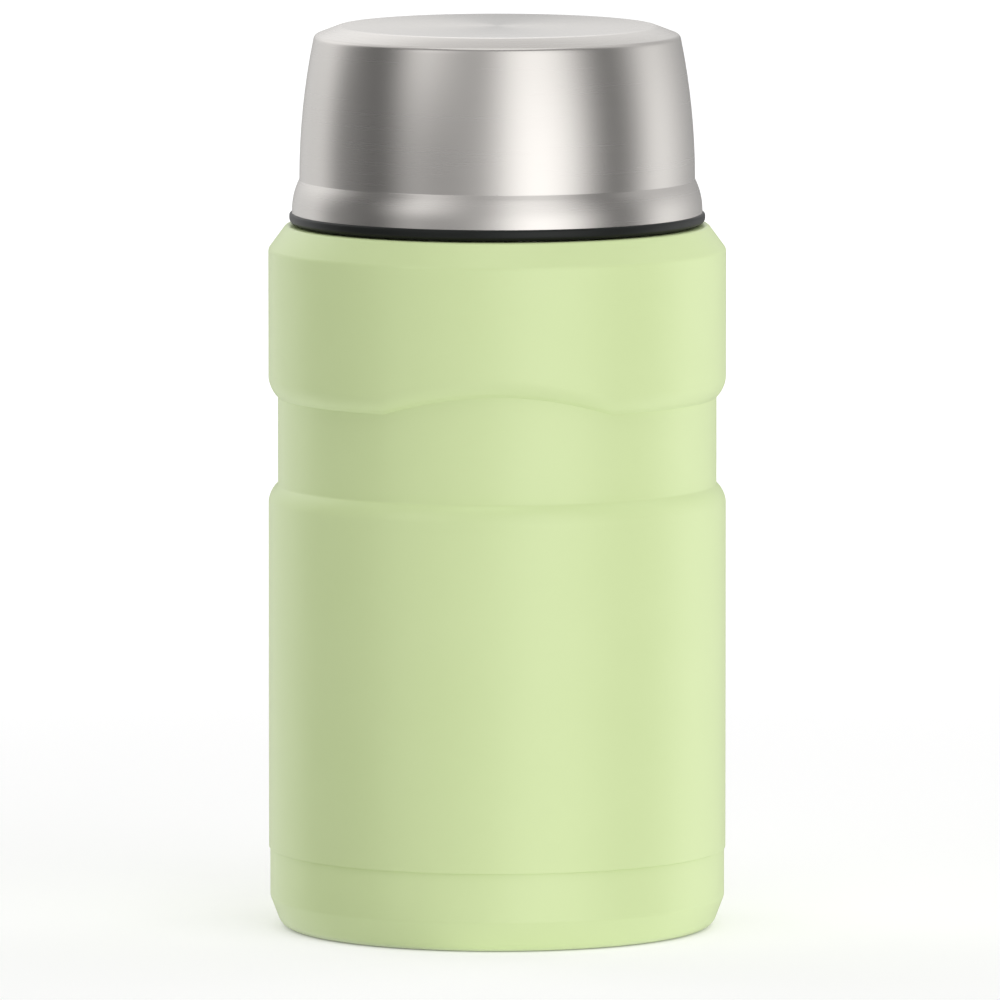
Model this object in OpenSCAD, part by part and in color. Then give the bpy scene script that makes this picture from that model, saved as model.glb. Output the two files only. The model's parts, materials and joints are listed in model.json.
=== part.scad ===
// Insulated food jar: a vacuum-walled steel vessel, a screw-in stopper and a screw-on
// serving bowl that closes it as a lid.  All three share one upright axis.
// Millimetres, +Z up.  The origin is on the floor at the middle of the base, and the
// arched edge of the recessed band faces -Y.

/* [Body shell] */
// Outside diameter of the painted body
body_d = 102; // [98:1:120]
// Height of the shoulder's flat top above the floor
body_h = 157; // [150:1:200]
// Thickness of the painted outer sheet
shell_wall = 0.6; // [0.4:0.1:0.9]
// Height over which the shoulder slopes in
shoulder_h = 5.3; // [3:0.1:9]
// How far the shoulder slopes in
shoulder_in = 3.9; // [2:0.1:4.5]
// Rounding where the wall turns into the shoulder
shoulder_round = 1.5; // [0.8:0.1:3]

/* [Recessed band] */
// Height of the band's lower inner corner
band_z = 99.2; // [60:0.1:105]
// Height of the recessed wall beside the arch
band_h = 19.5; // [10:0.1:30]
// How deep the band is pressed in
band_depth = 2.1; // [1:0.1:3]
// Rounding of the two lips of the band
lip_round = 6; // [4:0.5:10]
// How much higher the upper lip is at the middle of the arch
arch_rise = 4.4; // [1:0.1:8]
// Width of the arch, straight across
arch_w = 50; // [30:1:60]

/* [Base cup] */
// Height of the seam between base cup and shell
seam_z = 17.7; // [14:0.1:40]
// How far the base cup stands inside the body wall at the seam
seam_step = 0.3; // [0.2:0.05:0.5]
// Height of the cup's sloping lower edge
foot_h = 6.8; // [4:0.1:9]
// How far that edge slopes in
foot_in = 2.6; // [1:0.1:5]
// Rounding between the slope and the ring it stands on
foot_round = 2.9; // [1:0.1:4]
// Width of the flat ring that the jar stands on
foot_ring_w = 3; // [2:0.5:8]
// Height of the sunk middle of the base
floor_rise = 3; // [2:0.1:5]
// Length of the cup's rim inside the shell
spigot_h = 5; // [3:0.5:10]
// Diameter of the hole the air is drawn out through
vent_d = 3; // [2:0.5:5]
// Thickness of the plain disc glued under the base
disc_t = 0.8; // [0.5:0.1:1.2]

/* [Getter] */
// Distance of the pellet from the axis
getter_x = 18; // [14:1:26]
// Diameter of the pellet
getter_d = 9; // [6:0.5:12]
// Height of the pellet
getter_h = 2.2; // [1:0.1:2.5]
// Thickness of the strip that holds it
clip_t = 0.4; // [0.2:0.1:0.6]
// Width of that strip
clip_w = 5; // [3:0.5:8]
// Length of each welded tab of the strip
clip_tab = 3; // [2:0.5:5]
// How far each arm of the strip reaches over the pellet
clip_hook = 1.2; // [0.5:0.1:2]

/* [Inner vessel] */
// Thickness of the vessel's sheet
vessel_wall = 0.5; // [0.3:0.1:0.8]
// Empty space between the band and the vessel
vacuum_gap = 6.3; // [4:0.1:10]
// Empty space between the base and the vessel's floor
floor_gap = 6.4; // [4.5:0.1:12]
// Rounding of the vessel's bottom corner
vessel_round = 9; // [4:0.5:15]
// How much narrower the mouth is than the food space, on each side
mouth_step = 3.3; // [2:0.1:6]
// Height over which the vessel narrows to the mouth
mouth_slope_h = 8; // [5:0.5:15]
// Thickness of the foil round the vessel
foil_t = 0.2; // [0.1:0.05:0.4]
// Plain vessel above and below the foil
foil_margin = 6; // [2:0.5:20]

/* [Screw threads] */
// Rise in one full turn, the same for stopper and bowl
thread_pitch = 4; // [3.6:0.1:6]
// Turns from closed to free
thread_turns = 1.25; // [1:0.05:1.5]
// How far a ridge stands out of its wall
thread_depth = 1.2; // [0.8:0.1:1.6]
// Axial width of a ridge where it leaves the wall
thread_root = 2.4; // [1.8:0.1:2.6]
// Axial width of a ridge at its crest
thread_crest = 1; // [0.6:0.1:1.2]
// Radial clearance between a crest and the wall it faces
thread_clear = 0.4; // [0.3:0.05:0.6]
// Plain wall between the collar's ridge and its lower edge
thread_land = 0.8; // [0.4:0.1:3]

/* [Neck] */
// Thickness of the threaded neck
neck_wall = 0.5; // [0.4:0.1:0.9]
// Space between the neck and the vessel's mouth
neck_gap = 1.2; // [0.6:0.1:3]
// Width of the neck's flange under the shoulder
neck_flange_w = 3.6; // [2:0.1:5]
// Plain neck above the thread
neck_land = 3.1; // [2:0.1:8]

/* [Stopper] */
// Thickness of the stopper's mouldings
stopper_wall = 2; // [1.5:0.1:3]
// Thickness of the flange over the mouth
flange_t = 3; // [2:0.1:5]
// Thickness of the silicone seal under the flange
seal_t = 1.5; // [1:0.1:3]
// Height of the hand grip above the flange
grip_h = 7; // [5:0.5:12]
// Diameter of the hand grip
grip_d = 54; // [40:1:60]
// Thickness of the grip's wall
grip_wall = 4; // [3:0.1:6]
// Width of the raised rim on top of the grip
grip_rim_w = 6; // [4:0.5:10]
// How far the middle of the grip's top lies below that rim
grip_dish = 1.5; // [0.5:0.1:3]
// Number of finger hollows round the grip
grip_flutes = 12; // [6:1:16]
// Depth of a finger hollow
flute_depth = 1.6; // [0.8:0.1:2]
// Radius of a finger hollow
flute_r = 4; // [3:0.5:5]
// Plain mouth wall above the stopper's thread
mouth_land = 6.4; // [4:0.1:10]
// Plain plug below the thread
plug_tail = 6.7; // [5:0.1:15]
// Height of the lower cup's rim inside the plug
cup_rim_h = 7; // [4:0.5:12]
// Thickness of that rim
cup_rim_t = 1.5; // [1:0.1:2.5]

/* [Serving bowl] */
// Thickness of the bowl's two steel skins
bowl_wall = 0.6; // [0.4:0.1:0.9]
// Thickness of the collar at the top
collar_wall = 1.1; // [0.8:0.1:2.5]
// Gap between the shoulder and the collar
bowl_gap = 0.3; // [0.2:0.1:1]
// Height of the collar's visible bead
bead_h = 2.5; // [1.5:0.1:5]
// How far the bead stands out past the steel
bead_proud = 0.6; // [0.2:0.1:1.5]
// Height of the crease above the collar's lower edge
crease_h = 9.95; // [8:0.05:11]
// How far the skirt under the crease flares out
skirt_flare = 1.65; // [0.8:0.05:2.5]
// Upright rim at the skirt's lower edge
skirt_rim_h = 0.6; // [0.2:0.1:1.5]
// Radius of the side wall's long curve
side_curve_r = 156; // [120:1:400]
// Width of the sloping edge round the flat top
top_slope_w = 5.5; // [3:0.1:10]
// Height of that sloping edge
top_slope_h = 2.1; // [1:0.1:4]
// Rounding of the corner under that edge
top_round = 1.2; // [0.7:0.1:2]
// How far the inner skin draws in from its foot to its flat end
liner_taper = 3.4; // [1:0.1:6]
// Thickness of the foam disc between the skins
bowl_foam_t = 4.5; // [2:0.5:10]
// Free space between the stopper's grip and the bowl
headroom = 7.6; // [5:0.1:30]

/* [Clearances] */
// Gap between curved faces that are fixed to each other
fixed_clear = 0.1; // [0.05:0.05:0.2]
// Gap between curved faces that move past each other
moving_clear = 0.35; // [0.3:0.05:0.6]

/* [Hidden] */

$fn = 96;
arc_steps = 5;           // straight runs in a rounded corner
curve_steps = 8;         // straight runs in a long curve
arch_steps = 24;         // columns across the arch
tongue_angle = 1.2;      // degrees that the arched front runs on inside the plain sheet
tongue_inset = 0.15;     // how far its skin is drawn in there
thread_step = 9;         // degrees between a ridge's cross-sections
thread_sink = 0.3;       // how far a ridge is sunk into its wall
thread_fade = 27;        // degrees over which a ridge's end runs out
thread_tip = 0.1;        // share of a ridge's depth that is left at its very end

// Small roundings, laps and margins
shoulder_edge_round = 1; // where the shoulder's slope meets its flat top
lip_run = 1;             // plain wall that rises with the arched lip
floor_slope_w = 1.5;     // from the standing ring in to the sunk floor
foot_edge_round = 1;     // inner edges of the standing ring
foot_bend_round = 2;     // where the foot's slope meets the wall
disc_margin = 2.5;       // bare floor round the disc
disc_rim_w = 3;          // glued rim of the disc
disc_rim_h = 0.6;        // how far that rim holds the plate off the floor
bead_lap = 1.5;          // how far the solder spreads round the hole
bead_head_t = 0.4;       // thickness of the solder outside the hole
bead_dome = 0.1;         // rise of the solder's inner end
slope_round = 6;         // both bends of the vessel's shoulder
mouth_edge_round = 0.3;  // where the vessel's lip turns out over the neck
flange_round = 0.4;      // lower edge of the stopper's flange
grip_round = 1;          // upper edge and foot of the grip, and the dish
grip_top_round = 1.5;    // outer edge of the grip's rim
flute_lift = 1.6;        // from the flange up to the finger hollows
cup_round = 1;           // lower edge of the stopper's cup
seal_in = 0.6;           // from the plug out to the seal
seal_out = 0.2;          // from the seal out to the flange's edge
edge_run = 1.5;          // side wall left plain for the bend at the top
top_edge_round = 3;      // where the sloping edge meets the flat top
liner_clear = 0.4;       // from the collar's bore out to the inner skin
liner_draft = 0.6;       // how far that skin draws in beside the stopper's flange
liner_foot_h = 3;        // height of the skin's foot above the flange
liner_round = 6;         // bends of the inner skin
foam_margin = 0.8;       // from the foam disc out to the sloping edge
bead_low_round = 1.3;    // lower edge of the collar's bead
bead_top_round = 0.6;    // upper edge of the collar's bead
collar_ledge_h = 1;      // upright step that centres the skirt

painted = "#C9DBA2";
steel = "#B9B9B5";
black_plastic = "#2A2A2A";
grey_plastic = "#55575A";
silicone = "#C9CBC8";
foam_white = "#ECE9DF";
foil_metal = "#D9D6CC";

// Radii, from the outside in
body_r = body_d / 2;
band_r = body_r - band_depth;
shell_in_r = body_r - shell_wall;
vessel_out_r = band_r - shell_wall - vacuum_gap;
food_r = vessel_out_r - vessel_wall;
mouth_r = food_r - mouth_step;
mouth_out_r = mouth_r + vessel_wall;
neck_r = mouth_out_r + neck_gap + neck_wall;
plug_r = mouth_r - thread_depth - thread_clear;
flange_r = neck_r - thread_clear;
collar_bore_r = neck_r + thread_depth + thread_clear;
collar_top_r = collar_bore_r + collar_wall;
bowl_r = collar_top_r + moving_clear + bowl_wall;
skirt_r = bowl_r + skirt_flare;
bead_r = skirt_r + bead_proud;

// Heights, from the floor up
floor_top_z = floor_rise + shell_wall;
vessel_floor_z = floor_top_z + floor_gap;
thread_travel = thread_pitch * thread_turns;
collar_z = body_h + bowl_gap;
collar_thread_z = collar_z + thread_land + thread_root / 2;
neck_thread_z = collar_thread_z + thread_pitch / 2;
neck_top_z = neck_thread_z + thread_travel + thread_root / 2 + neck_land;
mouth_top_z = neck_top_z + vessel_wall;
flange_z = mouth_top_z + seal_t;
flange_top_z = flange_z + flange_t;
grip_top_z = flange_top_z + grip_h;
mouth_thread_z = mouth_top_z - mouth_land - thread_root / 2 - thread_travel;
plug_thread_z = mouth_thread_z - thread_pitch / 2;
plug_z = plug_thread_z - thread_root / 2 - plug_tail;
mouth_slope_z = plug_z - mouth_slope_h;
liner_top_z = grip_top_z + headroom + bowl_wall;
foam_drop = thread_travel + 0.5;
bowl_foam_z = liner_top_z + foam_drop;
bowl_top_z = bowl_foam_z + bowl_foam_t + bowl_wall;
crease_z = collar_z + crease_h;
skirt_z = collar_z + bead_h;

// Lip of the band: an arc that leaves the body wall smoothly and ends in a crisp corner
lip_angle = acos((lip_round - band_depth) / lip_round);
lip_h = lip_round * sin(lip_angle);
arch_half = asin(arch_w / 2 / band_r);

// ---- outlines --------------------------------------------------------------------
// Outlines are lists of [radius, height].  A sheet's outline runs so that the metal
// lies on its left.

function unit(v) = v / norm(v);

function flip(list) = [for (i = [len(list) - 1:-1:0]) list[i]];

// Points along an arc, from angle a0 to a1
function arc(centre, r, a0, a1, steps = arc_steps) =
    [for (i = [0:steps]) let (a = a0 + (a1 - a0) * i / steps) centre + r * [cos(a), sin(a)]];

// A corner list [x, y, rounding] with each rounded corner replaced by its arc
function rounded(corners, steps = arc_steps) = [
    for (i = [0:len(corners) - 1])
        let (c = [corners[i][0], corners[i][1]], r = corners[i][2])
        if (i == 0 || i == len(corners) - 1 || r == 0) c
        else each corner_arc(c, corner_dir(corners, i - 1, i), corner_dir(corners, i, i + 1), r, steps)
];

function corner_dir(corners, i, j) =
    unit([corners[j][0] - corners[i][0], corners[j][1] - corners[i][1]]);

function corner_arc(c, d_in, d_out, r, steps) =
    let (
        side = sign(d_in[0] * d_out[1] - d_in[1] * d_out[0]),
        turn = acos(max(-1, min(1, d_in * d_out))),
        start = c - d_in * r * tan(turn / 2),
        centre = start + side * r * [-d_in[1], d_in[0]],
        a0 = atan2(start[1] - centre[1], start[0] - centre[0])
    )
    arc(centre, r, a0, a0 + side * turn, steps);

// The same line moved d to its left, with mitred corners
function shifted(path, d) = [
    for (i = [0:len(path) - 1])
        let (
            last = len(path) - 1,
            a = unit(path[max(i, 1)] - path[max(i, 1) - 1]),
            b = unit(path[min(i, last - 1) + 1] - path[min(i, last - 1)]),
            na = [-a[1], a[0]],
            nb = [-b[1], b[0]]
        )
        path[i] + d * (na + nb) / (1 + na * nb)
];

// Closed outline of a sheet of thickness t
function sheet(path, t) = concat(path, flip(shifted(path, t)));

// Radius of a wall that is upright at height z0 with radius r0 and curves in with radius c
function bowed(r0, z0, c, z) = r0 - c + sqrt(c * c - (z - z0) * (z - z0));

module spun(outline) {
    rotate_extrude() polygon(outline);
}

module ring(r_in, r_out, z0, z1) {
    spun([[r_in, z0], [r_out, z0], [r_out, z1], [r_in, z1]]);
}

// ---- screw ridge ---------------------------------------------------------------------
// A right-hand ridge on a wall of radius wall_r, which climbs from z0 by turns * pitch.
// way = 1 stands it on an outside wall, way = -1 inside a bore.

function ridge_section(wall_r, z, depth, way) = [
    [wall_r - way * thread_sink, z - thread_root / 2],
    [wall_r + way * depth, z - thread_crest / 2],
    [wall_r + way * depth, z + thread_crest / 2],
    [wall_r - way * thread_sink, z + thread_root / 2]
];

function ridge_depth(a, end) =
    thread_depth * max(thread_tip, min(1, a / thread_fade, (end - a) / thread_fade));

module ridge(wall_r, z0, way) {
    end = 360 * thread_turns;
    count = round(end / thread_step);
    points = [
        for (i = [0:count])
            let (a = end * i / count)
            for (p = ridge_section(wall_r, z0 + thread_pitch * a / 360, ridge_depth(a, end), way))
                [p[0] * cos(a), p[0] * sin(a), p[1]]
    ];
    sides = [
        for (i = [0:count - 1], j = [0:3])
            let (a = 4 * i + j, b = 4 * i + (j + 1) % 4)
            each [[a, b, b + 4], [a, b + 4, a + 4]]
    ];
    top = 4 * count;
    ends = [[0, 3, 2], [0, 2, 1], [top, top + 1, top + 2], [top, top + 2, top + 3]];
    faces = concat(sides, ends);
    polyhedron(points, way < 0 ? [for (f = faces) flip(f)] : faces);
}

// ---- outer shell -------------------------------------------------------------------------

// The shell's outside, with the upper lip raised by lift and each end cut short by trim
function shell_path(lift, trim = 0) = concat(
    [[body_r, seam_z + trim]],
    arc([body_r - lip_round, band_z - lip_h], lip_round, 0, lip_angle),
    arc([body_r - lip_round, band_z + band_h + lip_h + lift], lip_round, -lip_angle, 0),
    rounded([
        [body_r, band_z + band_h + lip_h + lift + lip_run, 0],
        [body_r, body_h - shoulder_h, shoulder_round],
        [body_r - shoulder_in, body_h, shoulder_edge_round],
        [neck_r + fixed_clear + trim, body_h, 0]
    ])
);

// Lift of the upper lip at an angle from the middle of the front
function arch_lift(angle) = arch_rise * max(0, 1 - pow(band_r * sin(angle) / (arch_w / 2), 2));

// The sheet's section at that angle, as a point list out along the face and again along the
// back, with its skin drawn in by inset
function arch_column(angle, inset) =
    let (path = shell_path(arch_lift(angle), inset))
    [
        for (p = concat(shifted(path, inset), shifted(path, shell_wall - inset)))
            [p[0] * sin(angle), -p[0] * cos(angle), p[1]]
    ];

// The front of the shell, from one end of the arch to the other.  A thinned tongue on each
// side runs on inside the plain part of the sheet, so that the two join cleanly.
module arch_front() {
    tongue = arch_half + tongue_angle;
    columns = concat(
        [arch_column(-tongue, tongue_inset)],
        [for (i = [0:arch_steps]) arch_column(arch_half * (2 * i / arch_steps - 1), 0)],
        [arch_column(tongue, tongue_inset)]
    );
    size = len(columns[0]);
    half = size / 2;
    last = len(columns) - 1;
    loop = concat([for (k = [0:half - 1]) k], [for (k = [half - 1:-1:0]) half + k]);
    sides = [
        for (i = [0:last - 1], k = [0:size - 1])
            let (a = size * i + loop[k], b = size * i + loop[(k + 1) % size])
            each [[a, b, b + size], [a, b + size, a + size]]
    ];
    end = size * last;
    ends = [
        for (k = [0:half - 2])
            each [
                [k, half + k, half + k + 1, k + 1],
                [end + k, end + k + 1, end + half + k + 1, end + half + k]
            ]
    ];
    polyhedron([for (c = columns, p = c) p], concat(sides, ends));
}

module outer_shell() {
    plain = arch_half + tongue_angle / 8;
    color(painted) {
        rotate_extrude(angle = 360 - 2 * plain, start = plain - 90)
            polygon(sheet(shell_path(0), shell_wall));
        arch_front();
    }
}

// ---- base ----------------------------------------------------------------------------------

base_r = body_r - seam_step;
spigot_r = shell_in_r - fixed_clear;
foot_r = base_r - foot_in;
foot_ring_r = foot_r - foot_round - foot_ring_w;
disc_r = foot_ring_r - disc_margin;
bead_head_r = vent_d / 2 + bead_lap;
bead_stem_r = vent_d / 2 - fixed_clear;

module base_cup() {
    path = rounded([
        [0, floor_rise, 0],
        [foot_ring_r - floor_slope_w, floor_rise, foot_edge_round],
        [foot_ring_r, 0, foot_edge_round],
        [foot_r, 0, foot_round],
        [base_r, foot_h, foot_bend_round],
        [base_r, seam_z, 0],
        [spigot_r, seam_z, 0],
        [spigot_r, seam_z + spigot_h, 0]
    ]);
    color(painted) difference() {
        spun(sheet(path, shell_wall));
        cylinder(h = floor_top_z + 1, d = vent_d);
    }
}

// Plain disc under the base: a flat plate with a raised edge that is glued to the floor
module base_disc() {
    plate_z = floor_rise - disc_rim_h - disc_t;
    rim_r = disc_r - disc_rim_w;
    color(steel) spun([
        [0, plate_z], [disc_r, plate_z], [disc_r, floor_rise],
        [rim_r, floor_rise], [rim_r, plate_z + disc_t], [0, plate_z + disc_t]
    ]);
}

// Solder that closes the hole after the air is drawn out
module vacuum_seal_bead() {
    color(steel) spun([
        [0, floor_rise - bead_head_t], [bead_head_r - bead_head_t, floor_rise - bead_head_t],
        [bead_head_r, floor_rise], [bead_stem_r, floor_rise],
        [bead_stem_r, floor_top_z - bead_dome], [0, floor_top_z]
    ]);
}

// Pellet that soaks up stray gas in the vacuum
module getter() {
    color(foil_metal) translate([getter_x, 0, floor_top_z + clip_t])
        cylinder(h = getter_h, d = getter_d);
}

// Strip that holds the pellet, spot-welded to the base
module getter_clip() {
    inner = getter_d / 2 + fixed_clear;
    outer = inner + clip_t;
    tip = inner - clip_hook;
    arm_h = getter_h + 2 * clip_t;
    half = [
        [outer + clip_tab, 0], [outer + clip_tab, clip_t], [outer, clip_t], [outer, arm_h],
        [tip, arm_h], [tip, arm_h - clip_t], [inner, arm_h - clip_t], [inner, clip_t]
    ];
    color(steel) translate([getter_x, clip_w / 2, floor_top_z]) rotate([90, 0, 0])
        linear_extrude(height = clip_w)
            polygon(concat(half, flip([for (p = half) [-p[0], p[1]]])));
}

// ---- inner vessel and neck --------------------------------------------------------------------

module threaded_neck() {
    path = rounded([
        [neck_r + neck_flange_w, body_h - shell_wall, 0],
        [neck_r, body_h - shell_wall, 0],
        [neck_r, neck_top_z, 0]
    ]);
    color(steel) {
        spun(sheet(path, neck_wall));
        ridge(neck_r, neck_thread_z, 1);
    }
}

module inner_vessel() {
    path = rounded([
        [0, vessel_floor_z, 0],
        [vessel_out_r, vessel_floor_z, vessel_round],
        [vessel_out_r, mouth_slope_z, slope_round],
        [mouth_out_r, plug_z, slope_round],
        [mouth_out_r, neck_top_z, mouth_edge_round],
        [neck_r, neck_top_z, 0]
    ]);
    color(steel) {
        spun(sheet(path, vessel_wall));
        ridge(mouth_r, mouth_thread_z, -1);
    }
}

// Foil wrapped round the vessel to throw heat back
module radiation_foil() {
    r = vessel_out_r + fixed_clear;
    color(foil_metal) ring(
        r, r + foil_t,
        vessel_floor_z + vessel_round + foil_margin, mouth_slope_z - foil_margin
    );
}

// ---- stopper ------------------------------------------------------------------------------------

skirt_in_r = plug_r - stopper_wall;
cup_r = skirt_in_r - fixed_clear;
cup_in_r = cup_r - cup_rim_t;
grip_r = grip_d / 2;
grip_in_r = grip_r - grip_wall;
dish_r = grip_r - grip_rim_w;
dish_z = grip_top_z - grip_dish;
cup_plate_t = stopper_wall;

// Flange, hand grip and threaded plug in one moulding, open below
module stopper_body() {
    outline = concat(
        rounded([
            [skirt_in_r, plug_z + cup_plate_t, 0],
            [plug_r, plug_z + cup_plate_t, 0],
            [plug_r, flange_z, 0],
            [flange_r, flange_z, flange_round],
            [flange_r, flange_top_z, grip_round],
            [grip_r, flange_top_z, grip_round],
            [grip_r, grip_top_z, grip_top_round],
            [dish_r, grip_top_z, grip_round],
            [dish_r - grip_round, dish_z, 0],
            [0, dish_z, 0]
        ]),
        [
            [0, dish_z - stopper_wall],
            [grip_in_r, dish_z - stopper_wall],
            [grip_in_r, flange_z],
            [skirt_in_r, flange_z]
        ]
    );
    color(black_plastic) {
        difference() {
            spun(outline);
            for (i = [0:grip_flutes - 1])
                rotate(i * 360 / grip_flutes)
                    translate([grip_r + flute_r - flute_depth, 0, flange_top_z + flute_lift])
                        cylinder(h = grip_h, r = flute_r);
        }
        ridge(plug_r, plug_thread_z, 1);
    }
}

// Cup that closes the plug from below
module stopper_cup() {
    rim_z = plug_z + cup_plate_t + cup_rim_h;
    color(grey_plastic) spun(concat(
        rounded([
            [0, plug_z, 0], [plug_r, plug_z, cup_round], [plug_r, plug_z + cup_plate_t, 0]
        ]),
        [
            [cup_r, plug_z + cup_plate_t], [cup_r, rim_z], [cup_in_r, rim_z],
            [cup_in_r, plug_z + cup_plate_t], [0, plug_z + cup_plate_t]
        ]
    ));
}

// Foam core under the flange
module stopper_foam() {
    color(foam_white) ring(0, cup_in_r - moving_clear, plug_z + cup_plate_t + foam_drop, flange_z);
}

// Silicone ring between the flange and the vessel's lip
module stopper_seal() {
    color(silicone) ring(plug_r + seal_in, flange_r - seal_out, mouth_top_z, flange_z);
}

// ---- serving bowl ------------------------------------------------------------------------------------

// Outside of the steel skin: flared skirt, crease, long side curve, sloping edge, flat top
function bowl_path() =
    let (
        curve_z = skirt_z + skirt_rim_h,
        curve_h = crease_z - curve_z,
        skirt_curve_r = (skirt_flare * skirt_flare + curve_h * curve_h) / (2 * skirt_flare),
        edge_z = bowl_top_z - top_slope_h,
        bend_z = edge_z - 2 * edge_run / 3,
        edge_r = bowed(bowl_r, crease_z, side_curve_r, edge_z)
    )
    concat(
        [[skirt_r, skirt_z]],
        [
            for (i = [0:curve_steps - 1])
                let (z = curve_z + curve_h * i / curve_steps) [bowed(skirt_r, curve_z, skirt_curve_r, z), z]
        ],
        [
            for (i = [0:curve_steps - 1])
                let (z = crease_z + (edge_z - edge_run - crease_z) * i / (curve_steps - 1))
                [bowed(bowl_r, crease_z, side_curve_r, z), z]
        ],
        rounded([
            [bowed(bowl_r, crease_z, side_curve_r, bend_z), bend_z, 0],
            [edge_r, edge_z, top_round],
            [edge_r - top_slope_w, bowl_top_z, top_edge_round],
            [0, bowl_top_z, 0]
        ])
    );

module bowl_shell() {
    color(steel) spun(sheet(bowl_path(), bowl_wall));
}

// Inner skin, the inside of the bowl when it is turned over
module bowl_liner() {
    side_r = collar_bore_r + liner_clear;
    path = rounded([
        [collar_top_r - fixed_clear, neck_top_z + bowl_wall, 0],
        [side_r, neck_top_z + bowl_wall, 0],
        [side_r - liner_draft, flange_top_z + liner_foot_h, liner_round],
        [side_r - liner_taper, liner_top_z, liner_round],
        [0, liner_top_z, 0]
    ]);
    color(steel) spun(sheet(path, bowl_wall));
}

// Foam disc under the bowl's flat top
module bowl_foam() {
    edge_r = bowed(bowl_r, crease_z, side_curve_r, bowl_top_z - top_slope_h);
    foam_r = edge_r - top_slope_w - foam_margin;
    color(foam_white) ring(0, foam_r, bowl_foam_z, bowl_top_z - bowl_wall);
}

// Moulded collar with the bowl's thread; its bead shows under the steel
module bowl_collar() {
    wall_low_r = skirt_r - bowl_wall - moving_clear;
    color(black_plastic) {
        spun(rounded([
            [collar_bore_r, collar_z, 0],
            [bead_r, collar_z, bead_low_round],
            [bead_r, skirt_z, bead_top_round],
            [wall_low_r, skirt_z, 0],
            [wall_low_r, skirt_z + collar_ledge_h, 0],
            [collar_top_r, crease_z, 0],
            [collar_top_r, neck_top_z, 0],
            [collar_bore_r, neck_top_z, 0]
        ]));
        ridge(collar_bore_r, collar_thread_z, -1);
    }
}

outer_shell();
base_cup();
base_disc();
vacuum_seal_bead();
getter();
getter_clip();
threaded_neck();
inner_vessel();
radiation_foil();
stopper_foam();
stopper_seal();
stopper_body();
stopper_cup();
bowl_foam();
bowl_liner();
bowl_collar();
bowl_shell();
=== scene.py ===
# %% [markdown]
# # An insulated food jar
# The jar has a painted steel body with a vacuum in its wall, a screw-in stopper, and a steel bowl that
# screws on over the stopper as a lid. The construction model already holds every piece at its real size
# and place. This notebook dresses it: each pair of cells below makes one piece, or one finish.

# %% Load the construction model
import json
import math

import bmesh
import bpy
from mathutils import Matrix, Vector, noise


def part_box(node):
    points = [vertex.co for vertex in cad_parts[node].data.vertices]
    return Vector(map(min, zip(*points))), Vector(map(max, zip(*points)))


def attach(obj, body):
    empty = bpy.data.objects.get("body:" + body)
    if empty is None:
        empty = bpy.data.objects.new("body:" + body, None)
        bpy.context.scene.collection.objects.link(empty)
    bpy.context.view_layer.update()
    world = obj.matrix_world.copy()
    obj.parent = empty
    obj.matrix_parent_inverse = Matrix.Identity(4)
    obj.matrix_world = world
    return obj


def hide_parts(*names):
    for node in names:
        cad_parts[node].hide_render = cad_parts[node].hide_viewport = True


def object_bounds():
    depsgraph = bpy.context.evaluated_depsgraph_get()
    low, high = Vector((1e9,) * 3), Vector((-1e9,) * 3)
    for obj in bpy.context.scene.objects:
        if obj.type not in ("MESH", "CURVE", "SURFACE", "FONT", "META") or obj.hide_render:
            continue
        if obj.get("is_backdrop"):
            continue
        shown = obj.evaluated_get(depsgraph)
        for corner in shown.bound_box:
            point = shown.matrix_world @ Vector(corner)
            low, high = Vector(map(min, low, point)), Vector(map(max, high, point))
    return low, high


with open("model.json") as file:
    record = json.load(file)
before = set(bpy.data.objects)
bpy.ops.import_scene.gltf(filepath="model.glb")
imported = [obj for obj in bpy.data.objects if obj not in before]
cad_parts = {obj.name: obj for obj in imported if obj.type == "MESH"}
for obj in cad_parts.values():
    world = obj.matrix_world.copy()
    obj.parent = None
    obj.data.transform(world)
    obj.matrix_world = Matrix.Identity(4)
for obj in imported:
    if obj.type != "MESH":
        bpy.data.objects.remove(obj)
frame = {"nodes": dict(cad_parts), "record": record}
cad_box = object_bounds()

print("nodes:", ", ".join(frame["nodes"]))

# %% [markdown]
# ## Camera
# The jar is seen from a little above with a very long lens, as in a catalogue, so that its sides stay
# almost parallel. A wide lens close by would show the same jar with bulging ellipses. The camera comes
# first, because every later choice is judged through it.

# %% Set up the camera
MM = 0.001
CAMERA_LENS = 599.2
CAMERA_PITCH = math.radians(6.056)
CAMERA_DISTANCE = 3711.9 * MM
CAMERA_AIM = Vector((0.62, 0, 95.31)) * MM

camera_data = bpy.data.cameras.new("camera")
camera_data.lens = CAMERA_LENS
camera = bpy.data.objects.new("camera", camera_data)
bpy.context.scene.collection.objects.link(camera)
backwards = Vector((0, -math.cos(CAMERA_PITCH), math.sin(CAMERA_PITCH)))
camera.location = CAMERA_AIM + backwards * CAMERA_DISTANCE
camera.rotation_euler = backwards.to_track_quat("Z", "Y").to_euler()
bpy.context.scene.camera = camera
print("camera at", [round(c, 3) for c in camera.location])

# %% [markdown]
# ## Measures
# Outer sizes are read from the construction model, so a changed jar is dressed again by running the
# notebook again. What a box cannot tell, such as the depth of the pressed band, is named here in
# millimetres, the unit in which a jar is drawn.

# %% Read the outer sizes
def span(node):
    """Outer radius, lowest and highest point of a round node, in millimetres."""
    low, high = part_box(node)
    return high.x / MM, low.z / MM, high.z / MM


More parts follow.
